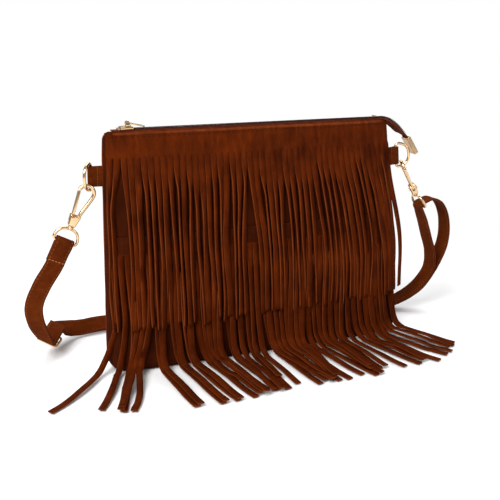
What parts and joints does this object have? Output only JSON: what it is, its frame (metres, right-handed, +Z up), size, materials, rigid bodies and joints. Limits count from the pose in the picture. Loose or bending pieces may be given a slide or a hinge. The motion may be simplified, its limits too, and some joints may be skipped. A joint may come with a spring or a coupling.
{
  "type": "fringed crossbody bag",
  "caption": "Zipped flat suede pouch with two layers of cut fringe, D-rings and snap hooks at its sides, and an adjustable strap lying behind it.",
  "frame": {"origin": "middle of the pouch's base, on the floor, under the rim's middle", "axes": "+Z up, +X along the pouch's width towards the loose end of the zip, the fringe faces -Y"},
  "size_m": [0.4248, 0.1945, 0.2185],
  "materials": {
    "suede": "napped suede",
    "fringe_suede": "napped suede, cut edges",
    "strap_suede": "napped suede with stitched edges",
    "lining_cloth": "plain woven cotton",
    "zip_cloth": "woven tape",
    "zip_coil": "moulded coil",
    "gold_metal": "polished pale gold plate",
    "satin_gold": "satin pale gold plate",
    "spring_steel": "plain spring steel"
  },
  "bodies": {
    "bag": {"front_panel": "suede", "back_panel": "suede", "lining": "lining_cloth", "upper_fringe": "fringe_suede", "lower_fringe": "fringe_suede", "zip_tape_front": "zip_cloth", "zip_tape_back": "zip_cloth", "zip_teeth_front": "zip_coil", "zip_teeth_back": "zip_coil", "zip_stop_front": "gold_metal", "zip_stop_back": "gold_metal", "zip_end_stop": "gold_metal", "zip_tail_cap": "satin_gold", "tab_left": "suede", "tab_right": "suede", "strap_ring_left": "gold_metal", "strap_ring_right": "gold_metal", "strap": "strap_suede", "strap_buckle": "gold_metal"},
    "slider": {"zip_slider": "gold_metal"},
    "pull": {"zip_pull": "gold_metal"},
    "ring_left": {"d_ring_left": "gold_metal"},
    "ring_right": {"d_ring_right": "gold_metal"},
    "clip_left": {"hook_left": "gold_metal", "gate_rivet_left": "gold_metal", "gate_spring_left": "spring_steel"},
    "clip_right": {"hook_right": "gold_metal", "gate_rivet_right": "gold_metal", "gate_spring_right": "spring_steel"},
    "clip_gate_left": {"gate_left": "gold_metal"},
    "clip_gate_right": {"gate_right": "gold_metal"}
  },
  "joints": [
    {"name": "zip_slide", "type": "slide", "parent": "bag", "child": "slider", "axis": [1, 0, 0], "range_m": [0, 0.229]},
    {"name": "zip_pull_turn", "type": "hinge", "parent": "slider", "child": "pull", "pos_m": [-0.11318, 0, 0.2167], "axis": [0, 1, 0], "range_deg": [-190, 0]},
    {"name": "ring_left_turn", "type": "hinge", "parent": "bag", "child": "ring_left", "pos_m": [-0.14584, 0, 0.17384], "axis": [-0.0239, 0, -0.9997], "range_deg": [-8, 2]},
    {"name": "ring_right_turn", "type": "hinge", "parent": "bag", "child": "ring_right", "pos_m": [0.14818, 0, 0.1745], "axis": [0.0905, 0, -0.9959], "range_deg": [-8, 10]},
    {"name": "hook_left_swivel", "type": "hinge", "parent": "bag", "child": "clip_left", "pos_m": [-0.16492, -0.00512, 0.1344], "axis": [0.4602, 0, 0.8878], "range_deg": [-45, 4]},
    {"name": "hook_right_swivel", "type": "hinge", "parent": "bag", "child": "clip_right", "pos_m": [0.17102, -0.00162, 0.13592], "axis": [-0.4802, 0, 0.8771], "range_deg": [-25, 24]},
    {"name": "gate_left_turn", "type": "hinge", "parent": "clip_left", "child": "clip_gate_left", "pos_m": [-0.16383, -0.00512, 0.14172], "axis": [0, 1, 0], "range_deg": [0, 20], "stiffness_Nm_per_rad": 0.01, "springref_deg": -20.05},
    {"name": "gate_right_turn", "type": "hinge", "parent": "clip_right", "child": "clip_gate_right", "pos_m": [0.16694, -0.00387, 0.14166], "axis": [-0.8242, 0.342, -0.4513], "range_deg": [0, 20], "stiffness_Nm_per_rad": 0.01, "springref_deg": -20.05}
  ]
}
